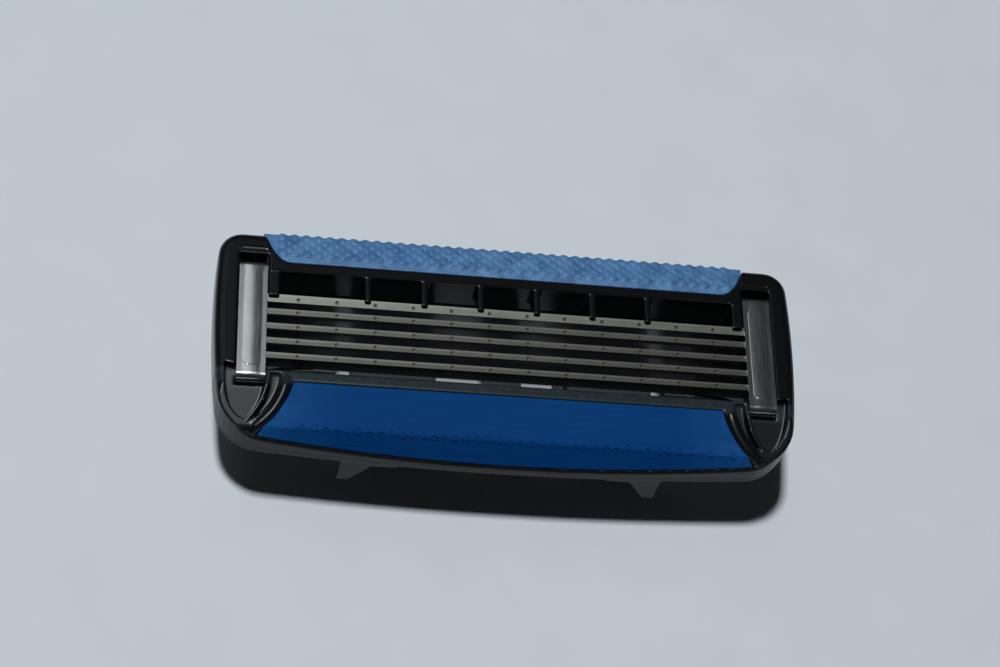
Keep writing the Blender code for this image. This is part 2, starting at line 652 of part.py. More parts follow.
def make_yoke(black):
    """Handle yoke about its pivot: a socketed foot, two arms and their trunnions."""
    foot = -PIVOT_RISE
    shoulder = foot + YOKE_FRAME_H
    plan = rounded_rectangle(YOKE_HALF_L, -YOKE_HALF_D, YOKE_HALF_D, YOKE_R)
    yoke = prisms("yoke", [(plan, "Z", foot, shoulder)], black)
    yoke.location = (0, PIVOT_Y * MM, PIVOT_RISE * MM)

    socket = rounded_rectangle(SOCKET_HALF_L, -SOCKET_HALF_D, SOCKET_HALF_D, SOCKET_R)
    latch = rectangle(-LATCH_W / 2, LATCH_W / 2, foot + LATCH_RISE, foot + LATCH_RISE + LATCH_H)
    root = shoulder - YOKE_FRAME_H / 4
    arm = [(-ARM_FOOT_HALF, root), (ARM_FOOT_HALF, root), (ARM_FOOT_HALF, shoulder)]
    arm += arc(0, 0, KNUCKLE_R, 0, math.pi) + [(-ARM_FOOT_HALF, shoulder)]
    pin = circle(0, 0, TRUNNION_R)

    arms = []
    pins = []
    for side in (-1, 1):
        arms.append((arm, "X", side * (YOKE_HALF_L - ARM_THICK), side * YOKE_HALF_L))
        pin_root = YOKE_HALF_L - ARM_THICK / 2
        pins.append((pin, "X", side * pin_root, side * (YOKE_HALF_L + TRUNNION_L)))
    past_end = YOKE_HALF_L + CUT
    tools = (
        ("DIFFERENCE", prisms("socket_cutter", [(socket, "Z", foot - CUT, shoulder + CUT)])),
        ("DIFFERENCE", prisms("latch_cutter", [(latch, "X", -past_end, past_end)])),
        ("UNION", prisms("yoke_arms", arms)),
        ("UNION", prisms("trunnions", pins)),
    )
    for operation, tool in tools:
        tool.parent = yoke
        boolean(yoke, operation, tool)


def make_clips(aluminium):
    """Two end clips, each with a raised panel on its band."""
    profile = clip_profile()
    ends = (LEG_BACK + PANEL_MARGIN, LEG_FRONT - PANEL_MARGIN)
    panel = rounded_rectangle(PANEL_W / 2, *ends, PANEL_R)
    for side, name in ((-1, "clip_left"), (1, "clip_right")):
        clip = prisms(name, [(profile, "X", -CLIP_W / 2, CLIP_W / 2)], aluminium)
        clip.location.x = side * CLIP_X * MM
        raised = prisms(name + "_panel", [(panel, "Z", TOP - CLIP_T / 2, TOP + PANEL_H)])
        raised.parent = clip
        boolean(clip, "UNION", raised)


def make_strips(guard_rubber, lube):
    """Guard strip and lubricating strip, each cut to its plan from a straight section."""
    outer = DEPTH / 2
    edge_z = TOP - GUARD_FALL
    section = [(GUARD_IN - CUT, TOP - GUARD_T), (outer - GUARD_EDGE_T, TOP - GUARD_T),
               (outer, edge_z - GUARD_EDGE_T), (outer, edge_z),
               (GUARD_IN + GUARD_BAND_W, TOP - SEAM), (GUARD_IN - CUT, TOP - SEAM)]
    guard = prisms("guard_strip", [(section, "X", -WIDTH / 2, WIDTH / 2)], guard_rubber)
    boolean(guard, "INTERSECT", prisms("guard_plan", [(guard_outline(), "Z", PARTING, TOP + CUT)]))

    top = below_cap(0.0)[:3]
    section = top + [(y, z - LUBE_T) for y, z in top[::-1]]
    strip = prisms("lube_strip", [(section, "X", -WIDTH / 2, WIDTH / 2)], lube)
    plan = prisms("lube_plan", [(lube_outline(), "Z", FRAME_Z + LUBE_BED, TOP + CUT)])
    boolean(strip, "INTERSECT", plan)
    boolean(strip, "INTERSECT", inside_lip("lube_edge"))


def make_blades(steel, rail_steel, black):
    """Blades on their rails, each pair on an empty at its cutting edge, and the arms below."""
    arm_top = FLOOR_TOP + SEAM + ARM_RISE
    root_top = FLOOR_TOP + SEAM + ARM_T
    tip_x = OPEN_HALF - SEAM - ARM_L
    root_x = OPEN_HALF - SEAM
    arm = [(root_x, FLOOR_TOP + SEAM), (root_x, root_top)]
    level = (tip_x + ARM_LEVEL_L, arm_top)
    upper = bezier((root_x - ARM_ROOT_L, root_top), level, (tip_x, arm_top))
    lower = [(x, z - ARM_T) for x, z in upper]
    arm += upper + lower[::-1]

    for i, edge in enumerate(blade_edges()):
        number = str(i + 1)
        carrier = bpy.data.objects.new("blade_carrier_" + number, None)
        carrier.location = (0, edge * MM, EDGE_Z * MM)
        bpy.context.scene.collection.objects.link(carrier)
        profile = blade_profile(BLADE_W if i else FIRST_BLADE_W)
        blade = prisms("blade_" + number, [(profile, "X", -BLADE_HALF, BLADE_HALF)], steel)
        rail = prisms("blade_support_" + number, [(rail_profile(), "X", -BLADE_HALF, BLADE_HALF)], rail_steel)
        blade.parent = carrier
        rail.parent = carrier

        middle = edge + rail_leg_y() + RAIL_T / 2
        low = middle - ARM_W / 2
        high = middle + ARM_W / 2
        prisms("spring_arm_right_" + number, [(arm, "Y", low, high)], black)
        prisms("spring_arm_left_" + number, [(mirrored(arm), "Y", low, high)], black)


def main():
    for old in list(bpy.data.objects):
        bpy.data.objects.remove(old)
    black = material("black_abs", (0.012, 0.013, 0.014), 0.42)
    make_frame(black)
    make_shell(material("dark_grey_abs", (0.06, 0.065, 0.07), 0.5))
    make_strips(material("blue_rubber", (0.12, 0.32, 0.72), 0.55),
                material("blue_lube", (0.01, 0.09, 0.42), 0.3))
    make_clips(material("aluminium", (0.78, 0.78, 0.8), 0.35, 1.0))
    make_blades(material("coated_steel", (0.6, 0.57, 0.54), 0.35, 1.0),
                material("bright_steel", (0.62, 0.62, 0.62), 0.15, 1.0),
                material("arm_plastic", (0.02, 0.02, 0.02), 0.5))
    make_yoke(material("yoke_plastic", (0.03, 0.03, 0.032), 0.5))
    bpy.context.view_layer.update()


main()
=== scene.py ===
"""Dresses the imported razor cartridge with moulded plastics, pressed metal, coated blades and soft blue strips."""

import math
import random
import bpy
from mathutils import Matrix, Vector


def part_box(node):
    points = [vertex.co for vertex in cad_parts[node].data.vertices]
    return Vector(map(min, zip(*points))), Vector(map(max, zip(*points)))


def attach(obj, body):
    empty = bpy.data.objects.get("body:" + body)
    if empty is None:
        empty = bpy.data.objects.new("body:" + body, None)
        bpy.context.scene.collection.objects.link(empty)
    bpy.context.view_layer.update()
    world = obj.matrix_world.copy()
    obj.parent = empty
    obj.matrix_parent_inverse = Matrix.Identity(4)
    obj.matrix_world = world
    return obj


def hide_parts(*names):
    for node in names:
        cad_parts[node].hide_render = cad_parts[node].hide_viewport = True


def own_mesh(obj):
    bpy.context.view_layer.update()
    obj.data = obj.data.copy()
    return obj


bl_info = {
    "name": "Razor cartridge looks",
    "version": (1, 0, 0),
    "blender": (4, 5, 0),
    "location": "View3D > Sidebar > Cartridge",
    "description": "Builds the finished surfaces of a five-blade razor cartridge on its solids",
    "category": "Mesh",
}

import bpy
from mathutils import Vector

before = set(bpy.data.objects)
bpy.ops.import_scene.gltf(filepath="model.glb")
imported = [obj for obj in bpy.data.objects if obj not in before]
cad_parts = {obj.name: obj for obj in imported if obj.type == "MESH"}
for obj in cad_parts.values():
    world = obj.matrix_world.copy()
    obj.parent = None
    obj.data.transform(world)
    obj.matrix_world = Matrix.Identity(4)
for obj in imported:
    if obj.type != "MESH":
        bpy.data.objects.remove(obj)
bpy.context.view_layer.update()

MM = 0.001               # metres in a millimetre; pieces are shaped in millimetres and end in metres
MERGE = 0.001            # millimetres between corners that count as one
FLAT = math.radians(0.5)  # faces that lean less than this to each other count as one flat face
MOST_TRIANGLES = 180000  # triangles that one moulded piece may keep
BLADES = range(1, 6)
SIDES = ("left", "right")
# A rib's line in millimetres: ends and pulls, from the right-hand clip's inner edge and the strip's front.
RIB_ROUTE = ((-1.5, 0.45), (-1.45, -0.95), (-0.65, -2.35), (0.8, -3.25))
LAMP_TINT = (0.9, 0.98, 1.0)    # slightly cool light


# Colours, sizes and the properties that hold them

def linear(code):
    """Linear colour of an sRGB hex code."""
    channels = [int(code[i:i + 2], 16) / 255 for i in (0, 2, 4)]
    return tuple(c / 12.92 if c <= 0.04045 else ((c + 0.055) / 1.055) ** 2.4 for c in channels)


def colour(name, description, code):
    """A colour property whose default is an sRGB hex code."""
    return bpy.props.FloatVectorProperty(
        name=name, description=description, default=linear(code), subtype="COLOR", min=0, max=1)


def length(name, description, millimetres):
    """A length property whose default is given in millimetres."""
    return bpy.props.FloatProperty(
        name=name, description=description, default=millimetres * MM, min=0, unit="LENGTH", precision=5)


def place(name, description, millimetres):
    """A point in the room whose default is given in millimetres."""
    return bpy.props.FloatVectorProperty(
        name=name, description=description, default=[c * MM for c in millimetres], subtype="TRANSLATION")


def number(name, description, value):
    """A plain number, such as a lamp's power."""
    return bpy.props.FloatProperty(name=name, description=description, default=value, min=0)


def count(name, description, value):
    """A whole number of like things."""
    return bpy.props.IntProperty(name=name, description=description, default=value, min=1)


class CartridgeSizes(bpy.types.PropertyGroup):
    """Sizes of the fine forms on the cartridge."""

    frame_voxel: length("Frame voxel", "Mesh size of the moulded frame before it is softened", 0.06)
    shell_voxel: length("Shell voxel", "Mesh size of the moulded shell before it is softened", 0.08)
    yoke_voxel: length("Yoke voxel", "Mesh size of the moulded yoke before it is softened", 0.08)
    strip_voxel: length("Strip voxel", "Mesh size of the two blue strips before they are softened", 0.05)
    frame_edge: length("Frame edge", "Rounding of the frame's edges", 0.1)
    arm_edge: length("Arm edge", "Rounding of the spring arms' edges", 0.04)
    slope_run: length("Slope run", "How far the slope in front of a clip's slot reaches", 0.5)
    slope_fall: length("Slope fall", "How far that slope falls to the slot", 0.16)
    slot_gap: length("Slot gap", "Clip's leg beside the guard to the front of its slot", 0.55)
    rib_radius: length("Rib radius", "Radius of the round ribs beside the lubricating strip", 0.4)
    rib_sink: length("Rib sink", "How far a rib's middle lies under the cap's surface", 0.19)
    rib_fade: length("Rib fade", "How much deeper a rib's ends lie, so that they die out", 0.15)
    guard_swell: length("Guard swell", "How far the rubber guard fills the gap around its seat", 0.05)
    guard_trim: length("Guard trim", "How far the guard's outer domes stand past its edge", 0.15)
    dome_pitch: length("Dome pitch", "Spacing of the guard's domes along a row", 0.854)
    dome_row: length("Dome row", "Spacing of the guard's rows of domes", 0.427)
    dome_radius: length("Dome radius", "Radius of a dome at its foot", 0.36)
    dome_rise: length("Dome rise", "Height of a dome above the strip", 0.15)
    dome_inset: length("Dome inset", "Guard's outer reach to the middle of the outer row", 0.38)
    dome_rows: count("Dome rows", "Rows of domes on the guard", 5)
    domes: count("Domes", "Domes in the outer row", 39)
    lube_swell: length("Strip swell", "How far the lubricating strip fills the gap around its seat", 0.03)
    crease_in: length("Crease", "Lubricating strip's outer edge to its crease", 1.05)
    ring_pitch: length("Ring pitch", "Spacing of the small rings along the crease", 0.76)
    ring_stray: length("Ring stray", "How far a ring may lie from its even place", 0.08)
    ring_radius: length("Ring radius", "Radius of a ring at the middle of its rim", 0.19)
    ring_rim: length("Ring rim", "Radius of a ring's rim", 0.06)
    rings: count("Rings", "Rings along the crease", 43)
    weld_pitch: length("Weld pitch", "Spacing of the weld dots along a blade", 2.733)
    weld_radius: length("Weld radius", "Radius of a weld dot", 0.14)
    weld_height: length("Weld height", "Height of a weld dot's rim above the blade", 0.015)
    weld_sink: length("Weld sink", "Depth of the crater inside a weld dot", 0.012)
    welds: count("Welds", "Weld dots on each blade", 12)
    clip_edge: length("Clip edge", "Rounding of the clips' edges", 0.05)
    clip_panel: length("Clip panel", "Width of the raised panel along a clip", 1.3)
    clip_crown: length("Clip crown", "How far a clip's raised panel arches up between its long edges", 0.035)
    clip_fade: length("Clip fade", "How far down a clip's bends the arch dies out", 1.2)
    clip_slices: count("Clip slices", "Flat facets across a clip before it is arched", 16)


class CartridgeColours(bpy.types.PropertyGroup):
    """Colours of the cartridge's materials and of the table."""

    frame_black: colour("Frame black", "Satin black of the moulded frame", "0c0d0f")
    # Painted sheen: the ledge grey stands in for the light that the cap ledge catches.
    ledge_sheen_grey: colour("Ledge grey", "Grey sheen painted on the frame's cap ledge", "242c30")
    shell_grey: colour("Shell grey", "Dark grey of the lower shell", "272b2e")
    yoke_black: colour("Yoke black", "Black of the handle yoke", "17181a")
    arm_black: colour("Arm black", "Black of the spring arms", "101112")
    guard_blue: colour("Guard blue", "Light blue of the rubber guard", "4f7aa6")
    guard_deep: colour("Guard deep blue", "Blue in the guard's clouds", "335a88")
    lube_blue: colour("Strip blue", "Deep blue of the lubricating strip", "043468")
    lube_pale: colour("Strip pale blue", "Paler streaks in the lubricating strip", "063f7a")
    # Painted glint: a milky pale blue laid on the strip's ends.
    lube_glint_blue: colour("Strip glint blue", "Milky pale blue painted towards the strip's ends as glints", "2f6aa8")
    aluminium: colour("Aluminium", "Bare aluminium of the clips", "e6e7e8")
    # Painted light and shade: both blade greys are one steel, lighter on the first blade and darker on the others.
    first_blade_lit_steel: colour("First blade steel", "Blade steel painted lighter on the wide blade beside the guard", "83807a")
    blade_steel: colour("Blade steel", "Blade steel painted darker on the other coated blades", "65625e")
    rail_steel: colour("Rail steel", "Dull steel of the rails", "8c8c8a")
    weld_brown: colour("Weld brown", "Heat tint of the weld dots", "443f39")
    table: colour("Table", "Pale table top", "cacbd1")


class CartridgeStage(bpy.types.PropertyGroup):
    """Places and strengths of the lamps, and the camera."""

    softbox_place: place("Softbox place", "Middle of the main lamp, nearly overhead", (-85, 22, 555))
    softbox_size: length("Softbox size", "Side of the square main lamp", 45)
    softbox_power: number("Softbox power", "Watts of the main lamp", 2.85)
    panel_place: place("Panel place", "Middle of the large dim panel behind the guard", (-133, 260, 440))
    panel_size: length("Panel size", "Side of the square panel", 270)
    panel_power: number("Panel power", "Watts of the panel", 0.12)
    room_strength: number("Room strength", "Brightness of the dim room around the lamps", 0.02)
    camera_place: place("Camera place", "Where the camera stands, above and in front of the cap",
                        (-30.86, -90.59, 168.90))
    camera_turn: bpy.props.FloatVectorProperty(
        name="Camera turn", description="How the camera is turned", subtype="EULER",
        default=[math.radians(turn) for turn in (29.6586, -10.1026, -1.1012)])
    camera_lens: number("Camera lens", "Focal length in millimetres on a 36 mm sensor", 94.58)
    table_size: length("Table size", "Side of the square table top", 4000)


# Materials

NOISE_SPAN = {"From Min": 0.3, "From Max": 0.7}    # most of a noise pattern's values lie between these


def add_node(tree, kind, inputs=None, **settings):
    """Adds a shader node with its own settings; inputs holds values or other nodes' sockets by name or number."""
    node = tree.nodes.new(kind)
    for name, value in settings.items():
        setattr(node, name, value)
    for key, value in (inputs or {}).items():
        if isinstance(value, bpy.types.NodeSocket):
            tree.links.new(value, node.inputs[key])
        else:
            node.inputs[key].default_value = value
    return node


def start_material(name):
    """An empty material, its node tree and the piece's own coordinates."""
    material = bpy.data.materials.new(name)
    material.use_nodes = True
    tree = material.node_tree
    tree.nodes.clear()
    return material, tree, add_node(tree, "ShaderNodeTexCoord").outputs["Object"]


def rgba(shade, share=1.0):
    """A colour property as a four-number shader value, or a share of its brightness."""
    return (*(c * share for c in shade), 1.0)


def per_metre(millimetres):
    """Texture scale at which a pattern repeats about every so many millimetres."""
    return 1 / (millimetres * MM)


def moulded_plastic(name, shade, grain, roughness, shine):
    """Injection-moulded plastic: fine spark-eroded grain breaks up its satin shine, over faint flow clouds."""
    material, tree, coordinates = start_material(name)
    grit = add_node(tree, "ShaderNodeTexNoise", {"Vector": coordinates, "Scale": per_metre(grain)}).outputs["Fac"]
    cloud = add_node(tree, "ShaderNodeTexNoise", {"Vector": coordinates, "Scale": per_metre(3)}).outputs["Fac"]
    tone = add_node(tree, "ShaderNodeMapRange", {"Value": cloud, **NOISE_SPAN}).outputs["Result"]
    tint = add_node(tree, "ShaderNodeMix", {"Factor": tone, 6: rgba(shade, 0.8), 7: rgba(shade)},
                    data_type="RGBA").outputs[2]
    polish = add_node(tree, "ShaderNodeMapRange", {
        "Value": grit, **NOISE_SPAN, "To Min": roughness - 0.04, "To Max": roughness + 0.04}).outputs["Result"]
    relief = add_node(tree, "ShaderNodeBump", {"Height": grit, "Distance": 0.02 * grain * MM}).outputs["Normal"]
    shader = add_node(tree, "ShaderNodeBsdfPrincipled", {
        "Base Color": tint, "Roughness": polish, "IOR": 1.53, "Specular IOR Level": shine, "Normal": relief})
    add_node(tree, "ShaderNodeOutputMaterial", {"Surface": shader.outputs["BSDF"]})
    return material


def frame_plastic(colours):
    """Moulded ABS: a smooth black border, a duller spark-eroded cap and a patchy grey sheen painted on the ledge
    beside the blades.
    """
    material, tree, coordinates = start_material("moulded black ABS")
    grit = add_node(tree, "ShaderNodeTexNoise", {"Vector": coordinates, "Scale": per_metre(0.07)}).outputs["Fac"]
    cloud = add_node(tree, "ShaderNodeTexNoise", {"Vector": coordinates, "Scale": per_metre(0.6)}).outputs["Fac"]
    back = add_node(tree, "ShaderNodeSeparateXYZ", {"Vector": coordinates}).outputs["Y"]
    cap = add_node(tree, "ShaderNodeMapRange", {
        "Value": back, "From Min": -3.3 * MM, "From Max": -3.0 * MM, "To Min": 1.0, "To Max": 0.0}).outputs["Result"]
    ledge = add_node(tree, "ShaderNodeMapRange", {
        "Value": back, "From Min": -4.4 * MM, "From Max": -4.0 * MM}).outputs["Result"]
    # The ledge band between the cap and the blades gets a patchy grey painted sheen.
    ledge_band = add_node(tree, "ShaderNodeMath", {0: cap, 1: ledge}, operation="MULTIPLY").outputs["Value"]
    patchy = add_node(tree, "ShaderNodeMapRange", {
        "Value": cloud, **NOISE_SPAN, "To Min": 0.5, "To Max": 1.0}).outputs["Result"]
    painted_ledge_sheen = add_node(tree, "ShaderNodeMath", {0: ledge_band, 1: patchy}, operation="MULTIPLY").outputs["Value"]
    tint = add_node(tree, "ShaderNodeMix", {
        "Factor": painted_ledge_sheen, 6: rgba(colours.frame_black), 7: rgba(colours.ledge_sheen_grey)}, data_type="RGBA").outputs[2]
    smooth = add_node(tree, "ShaderNodeMapRange", {"Value": cap, "To Min": 0.21, "To Max": 0.3}).outputs["Result"]
    polish = add_node(tree, "ShaderNodeMath", {0: grit, 1: 0.06, 2: smooth}, operation="MULTIPLY_ADD").outputs["Value"]
    relief = add_node(tree, "ShaderNodeBump", {"Height": grit, "Distance": 0.0014 * MM}).outputs["Normal"]
    shader = add_node(tree, "ShaderNodeBsdfPrincipled", {
        "Base Color": tint, "Roughness": polish, "IOR": 1.53, "Specular IOR Level": 0.2, "Normal": relief})
    add_node(tree, "ShaderNodeOutputMaterial", {"Surface": shader.outputs["BSDF"]})
    return material


def guard_elastomer(colours):
    """Moulded elastomer: soft, slightly cloudy blue with a dull skin that scatters a little light."""
    material, tree, coordinates = start_material("moulded blue elastomer")
    cloud = add_node(tree, "ShaderNodeTexNoise", {"Vector": coordinates, "Scale": per_metre(0.9)}).outputs["Fac"]
    grit = add_node(tree, "ShaderNodeTexNoise", {"Vector": coordinates, "Scale": per_metre(0.08)}).outputs["Fac"]
    tone = add_node(tree, "ShaderNodeMapRange", {"Value": cloud, **NOISE_SPAN}).outputs["Result"]
    tint = add_node(tree, "ShaderNodeMix", {
        "Factor": tone, 6: rgba(colours.guard_deep), 7: rgba(colours.guard_blue)}, data_type="RGBA").outputs[2]
    polish = add_node(tree, "ShaderNodeMapRange", {
        "Value": grit, **NOISE_SPAN, "To Min": 0.5, "To Max": 0.62}).outputs["Result"]
    relief = add_node(tree, "ShaderNodeBump", {"Height": grit, "Distance": 0.004 * MM}).outputs["Normal"]
    shader = add_node(tree, "ShaderNodeBsdfPrincipled", {
        "Base Color": tint, "Roughness": polish, "IOR": 1.5, "Normal": relief})
    add_node(tree, "ShaderNodeOutputMaterial", {"Surface": shader.outputs["BSDF"]})
    return material


def lube_polymer(colours):
    """Extruded polymer soaked in lubricant: deep wet blue, fine lines along the extrusion, and a milky pale blue
    painted at its ends as glints.
    """
    material, tree, coordinates = start_material("extruded lubricating polymer")
    along = add_node(tree, "ShaderNodeMapping", {"Vector": coordinates, "Scale": (1 / 60, 1, 1)}).outputs["Vector"]
    lines = add_node(tree, "ShaderNodeTexNoise", {
        "Vector": along, "Scale": per_metre(0.12), "Detail": 3.0}).outputs["Fac"]
    streaks = add_node(tree, "ShaderNodeMapRange", {
        "Value": lines, **NOISE_SPAN, "To Max": 0.7}).outputs["Result"]
    blue = add_node(tree, "ShaderNodeMix", {
        "Factor": streaks, 6: rgba(colours.lube_blue), 7: rgba(colours.lube_pale)}, data_type="RGBA").outputs[2]
    across = add_node(tree, "ShaderNodeSeparateXYZ", {"Vector": coordinates}).outputs["X"]
    reach = add_node(tree, "ShaderNodeMath", {0: across}, operation="ABSOLUTE").outputs["Value"]
    # Towards the strip's ends a milky pale blue is painted in clouds as glints.
    ends = add_node(tree, "ShaderNodeMapRange", {
        "Value": reach, "From Min": 12 * MM, "From Max": 18 * MM, "To Max": 0.5}).outputs["Result"]
    cloud = add_node(tree, "ShaderNodeTexNoise", {"Vector": coordinates, "Scale": per_metre(1.4)}).outputs["Fac"]
    painted_glint = add_node(tree, "ShaderNodeMath", {0: ends, 1: cloud}, operation="MULTIPLY").outputs["Value"]
    tint = add_node(tree, "ShaderNodeMix", {"Factor": painted_glint, 6: blue, 7: rgba(colours.lube_glint_blue)},
                    data_type="RGBA").outputs[2]
    polish = add_node(tree, "ShaderNodeMapRange", {
        "Value": lines, **NOISE_SPAN, "To Min": 0.5, "To Max": 0.6}).outputs["Result"]
    relief = add_node(tree, "ShaderNodeBump", {"Height": lines, "Distance": 0.0025 * MM}).outputs["Normal"]
    shader = add_node(tree, "ShaderNodeBsdfPrincipled", {
        "Base Color": tint, "Roughness": polish, "IOR": 1.46, "Specular IOR Level": 0.03, "Normal": relief})
    add_node(tree, "ShaderNodeOutputMaterial", {"Surface": shader.outputs["BSDF"]})
    return material


def rolled_metal(name, shade, roughness, spacing, stretch, depth):
    """Rolled or ground bare metal: fine lines along the working direction streak its reflections."""
    material, tree, coordinates = start_material(name)
    along = add_node(tree, "ShaderNodeMapping", {
        "Vector": coordinates, "Scale": [1 / s for s in stretch]}).outputs["Vector"]
    lines = add_node(tree, "ShaderNodeTexNoise", {
        "Vector": along, "Scale": per_metre(spacing), "Detail": 3.0}).outputs["Fac"]
    cloud = add_node(tree, "ShaderNodeTexNoise", {"Vector": coordinates, "Scale": per_metre(1.5)}).outputs["Fac"]
    tone = add_node(tree, "ShaderNodeMapRange", {"Value": cloud, **NOISE_SPAN}).outputs["Result"]
    tint = add_node(tree, "ShaderNodeMix", {"Factor": tone, 6: rgba(shade, 0.9), 7: rgba(shade)},
                    data_type="RGBA").outputs[2]
    polish = add_node(tree, "ShaderNodeMapRange", {
        "Value": lines, **NOISE_SPAN, "To Min": roughness - 0.03, "To Max": roughness + 0.03}).outputs["Result"]
    relief = add_node(tree, "ShaderNodeBump", {"Height": lines, "Distance": depth * MM}).outputs["Normal"]
    shader = add_node(tree, "ShaderNodeBsdfPrincipled", {
        "Base Color": tint, "Metallic": 1.0, "Roughness": polish, "Normal": relief})
    add_node(tree, "ShaderNodeOutputMaterial", {"Surface": shader.outputs["BSDF"]})
    return material


def table_paint(shade):
    """Painted table top: pale, dull and faintly uneven, so that it keeps a soft shadow."""
    material, tree, coordinates = start_material("painted table top")
    cloud = add_node(tree, "ShaderNodeTexNoise", {"Vector": coordinates, "Scale": per_metre(6)}).outputs["Fac"]
    grit = add_node(tree, "ShaderNodeTexNoise", {"Vector": coordinates, "Scale": per_metre(0.5)}).outputs["Fac"]
    tone = add_node(tree, "ShaderNodeMapRange", {"Value": cloud, **NOISE_SPAN}).outputs["Result"]
    tint = add_node(tree, "ShaderNodeMix", {"Factor": tone, 6: rgba(shade, 0.97), 7: rgba(shade)},
                    data_type="RGBA").outputs[2]
    relief = add_node(tree, "ShaderNodeBump", {"Height": grit, "Distance": 0.01 * MM}).outputs["Normal"]
    shader = add_node(tree, "ShaderNodeBsdfPrincipled", {"Base Color": tint, "Roughness": 0.85, "Normal": relief})
    add_node(tree, "ShaderNodeOutputMaterial", {"Surface": shader.outputs["BSDF"]})
    return material


# Mesh building

def only(piece):
    """Makes one object the only selected one, and the active one."""
    bpy.ops.object.select_all(action="DESELECT")
    piece.select_set(True)
    bpy.context.view_layer.objects.active = piece


def settle(piece):
    """Writes an object's place, turn and scale into its mesh."""
    only(piece)
    bpy.ops.object.transform_apply(location=True, rotation=True, scale=True)


def solid_copy(node, name):
    """A closed copy of a CAD node's mesh, in millimetres."""
    piece = bpy.data.objects.new(name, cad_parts[node].data.copy())
    bpy.context.scene.collection.objects.link(piece)
    piece.data.materials.clear()
    piece.scale = (1 / MM, 1 / MM, 1 / MM)
    settle(piece)
    bpy.ops.object.mode_set(mode="EDIT")
    bpy.ops.mesh.select_all(action="SELECT")
    bpy.ops.mesh.customdata_custom_splitnormals_clear()
    bpy.ops.mesh.remove_doubles(threshold=MERGE)
    bpy.ops.mesh.dissolve_limited(angle_limit=FLAT)
    bpy.ops.object.mode_set(mode="OBJECT")
    return piece


def modify(piece, kind, **settings):
    """Adds a modifier with its settings and applies it."""
    only(piece)
    modifier = piece.modifiers.new(kind, kind)
    for name, value in settings.items():
        setattr(modifier, name, value)
    bpy.ops.object.modifier_apply(modifier=modifier.name)


def repeat(piece, copies, pitch):
    """Repeats a shape along the blades."""
    modify(piece, "ARRAY", count=copies, use_relative_offset=False, use_constant_offset=True,
           constant_offset_displace=(pitch / MM, 0, 0))


def join(pieces):
    """Joins objects into the first one."""
    only(pieces[0])
    for piece in pieces[1:]:
        piece.select_set(True)
    bpy.ops.object.join()
    return pieces[0]


def soften(piece, voxel, rounds, swell=0.0):
    """Turns a sharp solid into a moulded one: an even mesh, rounded edges and only as many faces as it may have."""
    modify(piece, "REMESH", mode="VOXEL", voxel_size=voxel / MM)
    modify(piece, "SMOOTH", factor=0.5, iterations=rounds)
    if swell:
        modify(piece, "DISPLACE", strength=swell / MM, mid_level=0)
    modify(piece, "DECIMATE", ratio=min(1, MOST_TRIANGLES / (2 * len(piece.data.polygons))))
    only(piece)
    bpy.ops.object.shade_smooth()


def complete(piece, material, body, slot, *nodes):
    """Brings a piece to metres, gives it its material, ties it to its body and hides the nodes that it stands for."""
    piece.scale = (MM, MM, MM)
    settle(piece)
    piece.data.materials.clear()
    piece.data.materials.append(material)
    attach(piece, body)
    if nodes:
        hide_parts(*nodes)


def finish_nodes(nodes, material):
    """Gives CAD nodes that stay in view their finish."""
    for node in nodes:
        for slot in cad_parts[node].material_slots:
            slot.material = material


def surface_at(piece, x, y):
    """Place and normal where a line straight down meets a piece, in its own units."""
    above = Vector((x, y, max(corner[2] for corner in piece.bound_box) + 1))
    found, spot, normal, _ = piece.ray_cast(above, Vector((0, 0, -1)))
    if not found:
        raise RuntimeError(f"no surface of {piece.name} at {x:.2f}, {y:.2f}")
    return spot, normal


# Operators

